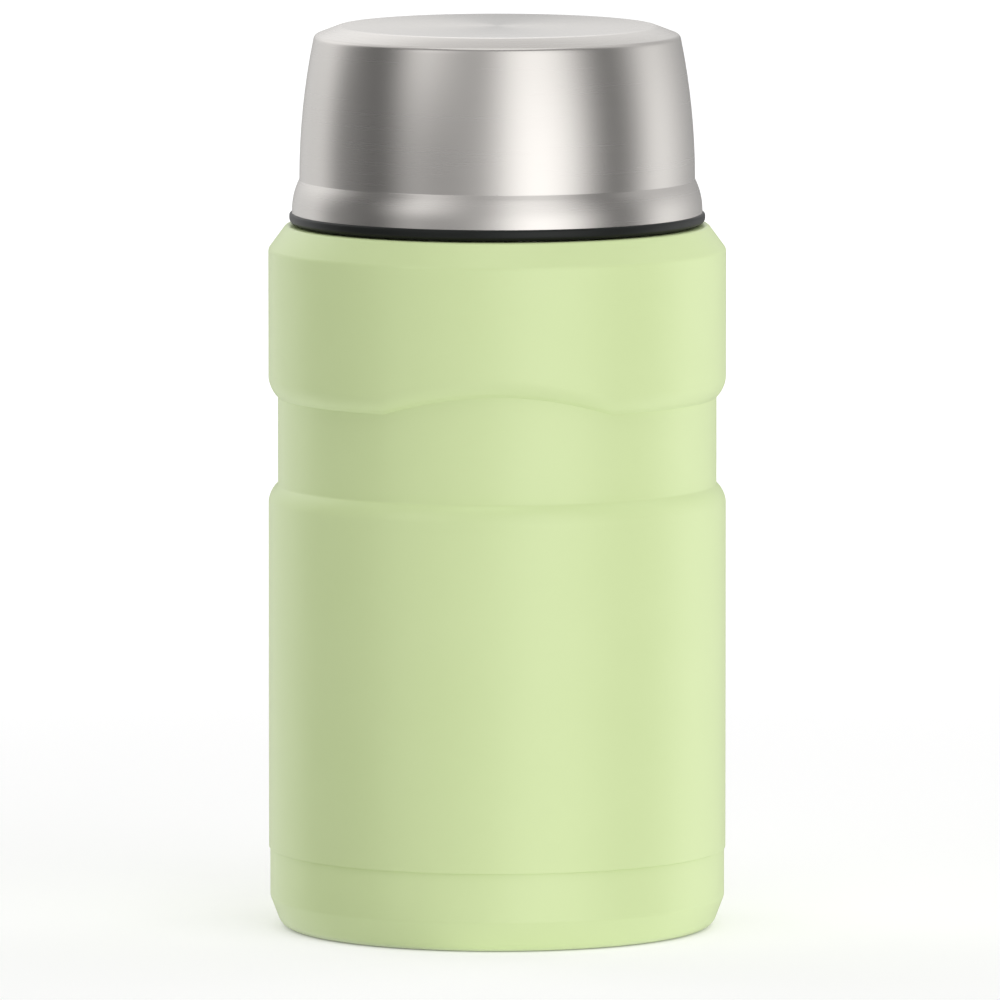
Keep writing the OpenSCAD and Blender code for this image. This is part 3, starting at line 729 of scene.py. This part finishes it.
def hollow_depth(angle):
    """How far a finger hollow cuts in at this angle from its middle."""
    centre = GRIP_R + HOLLOW_R - HOLLOW_DEEP
    reach = HOLLOW_R ** 2 - (centre * math.sin(angle)) ** 2
    return max(0.0, GRIP_R - centre * math.cos(angle) + math.sqrt(reach)) if reach > 0 else 0.0


spacing = math.tau / HOLLOWS
for vert in stopper.verts:
    radius, height = vert.co.xy.length / MM, vert.co.z / MM
    if height < FLANGE_TOP + HOLLOW_FOOT or radius < DISH_R + HOLLOW_RIM:
        continue
    around = math.atan2(vert.co.y, vert.co.x) % spacing
    depth = hollow_depth(min(around, spacing - around))
    depth *= min(1, (height - FLANGE_TOP - HOLLOW_FOOT) / HOLLOW_RUNOUT)
    vert.co.xy *= 1 - depth / GRIP_R
add_ridge(stopper, PLUG_R, PLUG_THREAD_Z, 1)
make_piece(stopper, "stopper_moulding", "stopper_body", black_plastic)

# %% [markdown]
# ## Stopper's cup, seal and foam
# A second moulding closes the plug from below, round a foam core. A silicone ring between flange and lip
# makes the jar tight. Its face has a shallow groove, so that two soft edges seal instead of one.

# %% Spin cup and seal
CUP_PLATE = 2.0
CUP_TOP = span("stopper_cup")[2]
CUP_ROUND, RIM_ROUND = 1.0, 0.4
RIM_GAP, RIM_WALL = 0.1, 1.5
RIM_OUT = PLUG_R - PLUG_WALL - RIM_GAP
RIM_IN = RIM_OUT - RIM_WALL
plug_cup = section([
    (0, STOPPER_LOW), (PLUG_R, STOPPER_LOW, CUP_ROUND), (PLUG_R, STOPPER_LOW + CUP_PLATE),
    (RIM_OUT, STOPPER_LOW + CUP_PLATE), (RIM_OUT, CUP_TOP, RIM_ROUND), (RIM_IN, CUP_TOP, RIM_ROUND),
    (RIM_IN, STOPPER_LOW + CUP_PLATE), (0, STOPPER_LOW + CUP_PLATE)])
make_piece(spin_round(plug_cup), "stopper_bottom", "stopper_cup", grey_plastic)

SEAL_R, SEAL_LOW, SEAL_TOP = span("stopper_seal")
SEAL_GAP = 0.6
SEAL_ROUND, SEAL_SOFT_ROUND = 0.3, 0.4
GROOVE_HALF, GROOVE_DEEP = 0.5, 0.3
SEAL_IN = PLUG_R + SEAL_GAP
seal_mid = (SEAL_R + SEAL_IN) / 2
seal = section([
    (SEAL_IN, SEAL_LOW, SEAL_ROUND), (seal_mid - GROOVE_HALF, SEAL_LOW),
    (seal_mid, SEAL_LOW + GROOVE_DEEP, SEAL_SOFT_ROUND), (seal_mid + GROOVE_HALF, SEAL_LOW),
    (SEAL_R, SEAL_LOW, SEAL_SOFT_ROUND), (SEAL_R, SEAL_TOP, SEAL_ROUND),
    (SEAL_IN, SEAL_TOP, SEAL_ROUND)], closed=True)
make_piece(spin_round(seal), "seal_ring", "stopper_seal", silicone)

# %% Spin a block of foam
FOAM_ROUND = 0.8


def foam_disc(node, name):
    """A plain round block of foam with soft edges."""
    radius, low, top = span(node)
    block = section([(0, low), (radius, low, FOAM_ROUND), (radius, top, FOAM_ROUND), (0, top)])
    make_piece(spin_round(block), name, node, bead_foam)


foam_disc("stopper_foam", "stopper_core_foam")

# %% [markdown]
# ## Serving bowl
# The lid is a double-skinned steel bowl, upside down. Its outer skin flares below a sharp crease, rises
# in a long gentle curve and ends in a sloping edge round the flat top. The long curves are worked out
# from their radius, and only the bends are rounded corners.

# %% Work out the bowl's section
BOWL_SHEET = 0.6
CREASE_UP, CREASE_ROUND, CREASE_CLEAR = 9.95, 0.5, 0.8
SKIRT_RIM, SKIRT_FLARE = 0.6, 1.65
SIDE_CURVE = 156.0
SLOPE_WIDE, SLOPE_TALL = 5.5, 2.1
EDGE_ROUND, EDGE_CLEAR, TOP_ROUND = 1.2, 2, 3.0
CURVE_ROWS = 8
CREASE_Z = COLLAR_LOW + CREASE_UP
BOWL_R = SKIRT_R - SKIRT_FLARE
EDGE_Z = BOWL_TOP - SLOPE_TALL


def curved_in(radius, foot_z, curve, z):
    """Radius at height z of a wall that is upright at foot_z and bends inwards above it."""
    return radius - curve + math.sqrt(curve ** 2 - (z - foot_z) ** 2)


skirt_foot = SKIRT_LOW + SKIRT_RIM
skirt_tall = CREASE_Z - skirt_foot
skirt_curve = (SKIRT_FLARE ** 2 + skirt_tall ** 2) / (2 * SKIRT_FLARE)
heights = [skirt_foot + skirt_tall * i / CURVE_ROWS for i in range(CURVE_ROWS)]
skirt_line = [(curved_in(SKIRT_R, skirt_foot, skirt_curve, z), z) for z in heights]
side_tall = EDGE_Z - EDGE_CLEAR - CREASE_Z
heights = [CREASE_Z + CREASE_CLEAR + side_tall * i / CURVE_ROWS for i in range(CURVE_ROWS + 1)]
side_line = [(curved_in(BOWL_R, CREASE_Z, SIDE_CURVE, z), z) for z in heights]
edge_r = curved_in(BOWL_R, CREASE_Z, SIDE_CURVE, EDGE_Z)
print(f"bowl {2 * BOWL_R:.1f} mm across at the crease and {2 * edge_r:.1f} mm at its upper edge")

# %% Spin the bowl's outer skin
bowl_section = [(SKIRT_R, SKIRT_LOW), *skirt_line, (BOWL_R, CREASE_Z, CREASE_ROUND), *side_line,
                (edge_r, EDGE_Z, EDGE_ROUND), (edge_r - SLOPE_WIDE, BOWL_TOP, TOP_ROUND), (0, BOWL_TOP)]
bowl = thicken(spin_round(section(bowl_section), SHELL_STEPS), BOWL_SHEET)
make_piece(bowl, "bowl_skin", "bowl_shell", bowl_steel)

# %% [markdown]
# ## Inner skin, foam and collar of the bowl
# The inner skin is what the food touches when the bowl is turned over. The moulded collar holds both
# skins and carries the thread; its black bead is the only part of it that shows with the jar closed.

# %% Spin the inner skin and the foam
COLLAR_WALL, COLLAR_GAP = 1.1, 0.1
COLLAR_BORE = NECK_R + RIDGE_DEEP + THREAD_GAP
COLLAR_WALL_R = COLLAR_BORE + COLLAR_WALL
LINING_OUT, LINING_TAPER, LINING_IN = 0.4, 0.6, 3.4
LINING_ROUND, LINING_LIP_ROUND = 6.0, 0.3
BEND_CLEAR = 3
LINING_TOP = span("bowl_liner")[2]
LINING_R = COLLAR_BORE + LINING_OUT

lining = section([
    (COLLAR_WALL_R - COLLAR_GAP, COLLAR_TOP + BOWL_SHEET),
    (LINING_R, COLLAR_TOP + BOWL_SHEET, LINING_LIP_ROUND),
    (LINING_R - LINING_TAPER, FLANGE_TOP + BEND_CLEAR, LINING_ROUND),
    (LINING_R - LINING_IN, LINING_TOP, LINING_ROUND), (0, LINING_TOP)])
lining = thicken(spin_round(lining), BOWL_SHEET)
make_piece(lining, "bowl_lining", "bowl_liner", polished_steel)
foam_disc("bowl_foam", "bowl_core_foam")

# %% Spin the collar
BORE_ROUND, BEAD_ROUND, BEAD_TOP_ROUND = 0.3, 1.3, 0.6
SKIN_GAP = 0.35
WALL_FOOT = 1
wall_low = SKIRT_R - BOWL_SHEET - SKIN_GAP
collar = section([
    (COLLAR_BORE, COLLAR_LOW, BORE_ROUND), (BEAD_R, COLLAR_LOW, BEAD_ROUND),
    (BEAD_R, SKIRT_LOW, BEAD_TOP_ROUND), (wall_low, SKIRT_LOW), (wall_low, SKIRT_LOW + WALL_FOOT),
    (COLLAR_WALL_R, CREASE_Z), (COLLAR_WALL_R, COLLAR_TOP), (COLLAR_BORE, COLLAR_TOP)], closed=True)
spin_round(collar, SHELL_STEPS)
add_ridge(collar, COLLAR_BORE, MATE_THREAD_Z, -1)
make_piece(collar, "collar_moulding", "bowl_collar", black_plastic)

# %% [markdown]
# ## Studio
# The jar stands on a white floor in a white room. Steel shows whatever stands around it, so the studio
# matters as much as the metal. Black flags, grey cards and soft lights would each draw one band on the
# steel. Here one round screen carries all of those bands: its brightness is a table by bearing, which is
# quicker to tune than a dozen separate cards, and neighbours run into each other softly.

# %% Make the white room
ROOM_LIGHT = 0.1


def seen_directly(tree):
    """1 for rays of the camera, of gloss and of glass, and 0 for the light that falls on matte things."""
    path = add_node(tree, "LightPath")
    seen = math_node(tree, "MAXIMUM", path.outputs["Is Camera Ray"], path.outputs["Is Glossy Ray"])
    return math_node(tree, "MAXIMUM", seen, path.outputs["Is Transmission Ray"])


def make_world():
    """White where it is seen, and a plain level of light for everything matte."""
    world = bpy.data.worlds.new("white room")
    world.use_nodes = True
    tree = world.node_tree
    level = add_node(tree, "MapRange", {"Value": seen_directly(tree), "To Min": ROOM_LIGHT, "To Max": 1.0})
    tree.links.new(level.outputs[0], tree.nodes["Background"].inputs["Strength"])
    tree.nodes["Background"].inputs["Color"].default_value = (1, 1, 1, 1)
    bpy.context.scene.world = world


make_world()
print(f"white room, of which matte things get {ROOM_LIGHT}")

# %% Find places round the jar by bearing
def fade(tree, value, start, end):
    """Rises softly from 0 at start to 1 at end."""
    ramp = add_node(tree, "MapRange", {"Value": value, "From Min": start, "From Max": end},
                    interpolation_type="SMOOTHSTEP")
    return ramp.outputs[0]


def bearing_and_height(tree):
    """Bearing in radians, counted from the front to the right, and height in metres."""
    place = add_node(tree, "SeparateXYZ", {0: add_node(tree, "TexCoord").outputs["Object"]})
    front = math_node(tree, "MULTIPLY", place.outputs[1], -1.0)
    return math_node(tree, "ARCTAN2", place.outputs[0], front), place.outputs[2]


# %% Turn a finished mesh into a thing of the studio
def make_prop(bm, name, material):
    """An object that stands round the jar and is no piece of it."""
    mesh = bpy.data.meshes.new(name)
    bm.to_mesh(mesh)
    bm.free()
    mesh.materials.append(material)
    prop = bpy.data.objects.new(name, mesh)
    bpy.context.scene.collection.objects.link(prop)
    print(f"{name}: {len(mesh.polygons)} faces")
    return prop


# %% [markdown]
# ## Floor
# The floor glows, more with distance, so that it is white in the picture and still takes a soft shadow near
# the jar. To the jar it throws plain light from most sides and less from the front left, as if a grey cloth
# lay there, which models the round body. Under the foot the glow fades, which paints a thin dark contact
# shadow round the foot; out of sight it fades only to a small share that still lights the jar's underside.
# Looked at from below, the floor is clear, and it lies a hair under the foot so that the two never share
# one plane. White paper under lamps would do as well, but would take more lamps.

# %% Make the floor's glow
FLOOR_GLOW = 0.44
FAR_START, FAR_END = 0.3, 1.5
FLOOR_BOUNCE, CLOTH_BOUNCE = 0.53, 0.24
CLOTH_LEFT, CLOTH_RIGHT, CLOTH_SOFT = -120, -15, 15
# Inside CONTACT_R the floor's glow is faded out: a painted contact shadow round the foot.
CONTACT_R, CONTACT_FADE = CUP_R - 5.4, 3.7
UNDER_SHARE = 0.3


def cloth_share(tree):
    """1 at the bearings of the grey cloth and 0 elsewhere, with soft edges."""
    bearing = bearing_and_height(tree)[0]
    cloth = 1.0
    for edge, soft in ((CLOTH_LEFT, CLOTH_SOFT), (CLOTH_RIGHT, -CLOTH_SOFT)):
        side = fade(tree, bearing, math.radians(edge - soft), math.radians(edge + soft))
        cloth = math_node(tree, "MULTIPLY", cloth, side)
    return cloth


def floor_glow(tree):
    """One level where the floor is seen, and another for the light that it throws on matte things."""
    place = add_node(tree, "TexCoord").outputs["Object"]
    from_axis = add_node(tree, "VectorMath", {0: place}, operation="LENGTH").outputs["Value"]
    # 0 under the foot and 1 outside it: where the glow fades, a contact shadow is painted on the floor.
    outside_painted_contact_shadow = fade(tree, from_axis, CONTACT_R * MM, (CONTACT_R + CONTACT_FADE) * MM)
    bounce = add_node(tree, "MapRange", {"Value": cloth_share(tree), "To Min": FLOOR_BOUNCE,
                                         "To Max": CLOTH_BOUNCE})
    shown = add_node(tree, "MapRange", {"Value": fade(tree, from_axis, FAR_START, FAR_END),
                                        "To Min": FLOOR_GLOW, "To Max": 1.0})
    under = add_node(tree, "MapRange", {"Value": outside_painted_contact_shadow, "To Min": UNDER_SHARE, "To Max": 1.0})
    thrown = math_node(tree, "MULTIPLY", bounce.outputs[0], under.outputs[0])
    seen = math_node(tree, "MULTIPLY", shown.outputs[0], outside_painted_contact_shadow)
    return add_node(tree, "MapRange", {"Value": seen_directly(tree), "To Min": thrown,
                                       "To Max": seen}).outputs[0]


# %% Lay the floor
FLOOR_HALF = 6.0
FLOOR_GAP = 0.05
FLOOR_TONE, FLOOR_ROUGHNESS = 0.6, 0.9


def make_floor_material():
    material, tree, shader = start_material("white floor", [FLOOR_TONE] * 3 + [1], FLOOR_ROUGHNESS,
                                            specular=0.0)
    shader.inputs["Emission Color"].default_value = (1, 1, 1, 1)
    tree.links.new(floor_glow(tree), shader.inputs["Emission Strength"])
    from_below = add_node(tree, "NewGeometry").outputs["Backfacing"]
    clear = add_node(tree, "BsdfTransparent").outputs[0]
    either = add_node(tree, "MixShader", {0: from_below, 1: shader.outputs[0], 2: clear}).outputs[0]
    tree.links.new(either, tree.nodes["Material Output"].inputs["Surface"])
    return material


floor_bm = bmesh.new()
bmesh.ops.create_grid(floor_bm, x_segments=1, y_segments=1, size=FLOOR_HALF)
bmesh.ops.translate(floor_bm, verts=floor_bm.verts[:], vec=(0, 0, -FLOOR_GAP * MM))
floor = make_prop(floor_bm, "floor", make_floor_material())
floor.visible_glossy = False
floor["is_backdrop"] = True

# %% [markdown]
# ## Screen
# The screen is a round wall of light. The steel reflects it and the paint is lit by it, but the camera does
# not see it. Each row of the table is a bearing in degrees, counted from the front to the right, then the
# brightness of the screen near the floor and higher up. Towards its top the screen runs into a plain tone,
# darker in front, which draws the thin dark line along an edge that looks up and forwards.

# %% Write down the bands of light
BANDS = [
    (-180, 0.30, 1.45), (-166, 0.47, 1.42), (-152, 1.00, 1.30), (-136, 0.95, 1.55), (-122, 1.25, 1.50),
    (-113, 0.85, 1.10), (-104, 0.30, 0.55), (-90, 0.30, 0.15), (-74, 0.10, 0.05), (-64, 0.10, 0.30),
    (-56, 0.60, 1.15), (-46, 0.75, 1.55), (-36, 0.45, 1.05), (-14, 0.50, 0.40), (-6, 0.55, 0.40),
    (2, 1.15, 1.05), (10, 1.90, 1.65), (20, 2.10, 1.75), (32, 2.00, 1.60), (42, 1.65, 1.25),
    (50, 1.05, 0.80), (58, 0.35, 0.30), (68, 0.05, 0.10), (80, 0.20, 0.25), (90, 0.75, 0.60),
    (100, 1.45, 0.90), (112, 1.45, 0.90), (124, 1.05, 0.75), (138, 0.70, 0.70), (154, 0.50, 0.80),
    (168, 0.35, 1.15), (180, 0.30, 1.45)]
BRIGHTEST = 2.5
LOW_COLUMN, HIGH_COLUMN = 1, 2
print(f"{len(BANDS)} stops, the brightest {max(max(row[LOW_COLUMN:]) for row in BANDS)}")

# %% Make the screen's light
MATTE_SHARE = 0.83
LOW_END, HIGH_START = 0.15, 0.6
PLAIN_START, PLAIN_FULL = 0.9, 1.3
PLAIN_FRONT, PLAIN_BACK = 0.45, 0.9
FRONT_END, BACK_START = 60, 120


def start_light(name):
    """A material that will only give off light."""
    material = bpy.data.materials.new(name)
    material.use_nodes = True
    tree = material.node_tree
    tree.nodes.remove(tree.nodes["Principled BSDF"])
    return material, tree


def band_level(tree, turn, column):
    """One column of the table as a ramp round the screen, where turn runs from 0 to 1."""
    node = add_node(tree, "ValToRGB", {"Fac": turn})
    stops = node.color_ramp.elements
    for i, row in enumerate(BANDS):
        position, level = (row[0] + 180) / 360, row[column] / BRIGHTEST
        stop = stops[0] if i == 0 else stops[-1] if i == len(BANDS) - 1 else stops.new(position)
        stop.position, stop.color = position, (level, level, level, 1)
    return math_node(tree, "MULTIPLY", node.outputs["Color"], BRIGHTEST)


def make_screen_light():
    material, tree = start_light("screen light")
    bearing, height = bearing_and_height(tree)
    turn = math_node(tree, "MULTIPLY_ADD", bearing, 1 / math.tau, 0.5)
    level = band_level(tree, turn, LOW_COLUMN)
    from_front = math_node(tree, "ABSOLUTE", bearing)
    behind = fade(tree, from_front, math.radians(FRONT_END), math.radians(BACK_START))
    plain = add_node(tree, "MapRange", {"Value": behind, "To Min": PLAIN_FRONT, "To Max": PLAIN_BACK})
    for start, end, above in ((LOW_END, HIGH_START, band_level(tree, turn, HIGH_COLUMN)),
                              (PLAIN_START, PLAIN_FULL, plain.outputs[0])):
        level = add_node(tree, "Mix", {"Factor": fade(tree, height, start, end), "A": level, "B": above},
                         data_type="FLOAT").outputs[0]
    share = add_node(tree, "MapRange", {"Value": seen_directly(tree), "To Min": MATTE_SHARE, "To Max": 1.0})
    light = add_node(tree, "Emission", {"Strength": math_node(tree, "MULTIPLY", level, share.outputs[0])})
    tree.links.new(light.outputs[0], tree.nodes["Material Output"].inputs["Surface"])
    return material


# %% Stand the screen round the jar
SCREEN_R, SCREEN_LOW, SCREEN_TOP = 1.0, -0.6, 2.6
SCREEN_STEPS = 96

screen_bm = bmesh.new()
screen_bm.edges.new([screen_bm.verts.new((SCREEN_R, 0, z)) for z in (SCREEN_LOW, SCREEN_TOP)])
screen = make_prop(spin_round(screen_bm, SCREEN_STEPS), "screen", make_screen_light())
screen.visible_camera = False
screen.visible_shadow = False
screen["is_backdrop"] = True

# %% [markdown]
# ## Disc overhead
# Every rounded edge of the steel reflects a little of what is straight above. A bright disc there draws the
# thin light line that makes such an edge look crisp. A lid on the screen could do it too, but a disc is
# tuned by itself.

# %% Lay a bright disc over the screen
DISC_LEVEL = 1.3


def make_disc_light():
    material, tree = start_light("disc overhead")
    light = add_node(tree, "Emission", {"Strength": DISC_LEVEL})
    tree.links.new(light.outputs[0], tree.nodes["Material Output"].inputs["Surface"])
    return material


disc_bm = bmesh.new()
bmesh.ops.create_circle(disc_bm, cap_ends=True, radius=SCREEN_R, segments=SCREEN_STEPS)
bmesh.ops.translate(disc_bm, verts=disc_bm.verts[:], vec=(0, 0, SCREEN_TOP))
disc = make_prop(disc_bm, "disc overhead", make_disc_light())
disc.visible_camera = disc.visible_diffuse = disc.visible_shadow = False
disc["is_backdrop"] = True

# %% [markdown]
# ## Soft lights
# The screen draws the reflections. These lights shape the matte paint, and the steel does not see them. Two
# hang high, in front and to the right, so that the upper lip of the band casts a soft shadow. Two stand
# behind the jar and give the paint its bright edges. Small lamps would give harder shadows.

# %% Hang four soft lights
LIGHT_SIZE = 0.7
AIM_HEIGHT = 0.1


def hang_light(name, bearing, distance, height, power):
    data = bpy.data.lights.new(name, "AREA")
    data.size = LIGHT_SIZE
    data.energy = power
    light = bpy.data.objects.new(name, data)
    bpy.context.scene.collection.objects.link(light)
    angle = math.radians(bearing)
    light.location = (distance * math.sin(angle), -distance * math.cos(angle), height)
    backwards = light.location - Vector((0, 0, AIM_HEIGHT))
    light.rotation_euler = backwards.to_track_quat("Z", "Y").to_euler()
    light.visible_camera = False
    light.visible_glossy = False
    print(f"{name}: {power} W, {distance} m from the axis")


hang_light("high light", bearing=0, distance=0.45, height=1.7, power=6.1)
hang_light("right light", bearing=50, distance=1.15, height=1.25, power=3.3)
hang_light("left edge light", bearing=-132, distance=1.6, height=0.2, power=8.0)
hang_light("right edge light", bearing=128, distance=1.6, height=0.2, power=8.0)

# %% [markdown]
# ## Finish
# The picture is shown as it is computed, with no film look.

# %% Finish
bpy.context.scene.view_settings.view_transform = "Standard"
sizes = {"cad": cad_box, "visual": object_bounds()}
for name, box in sizes.items():
    print(name, [[round(float(c), 4) for c in corner] for corner in box])
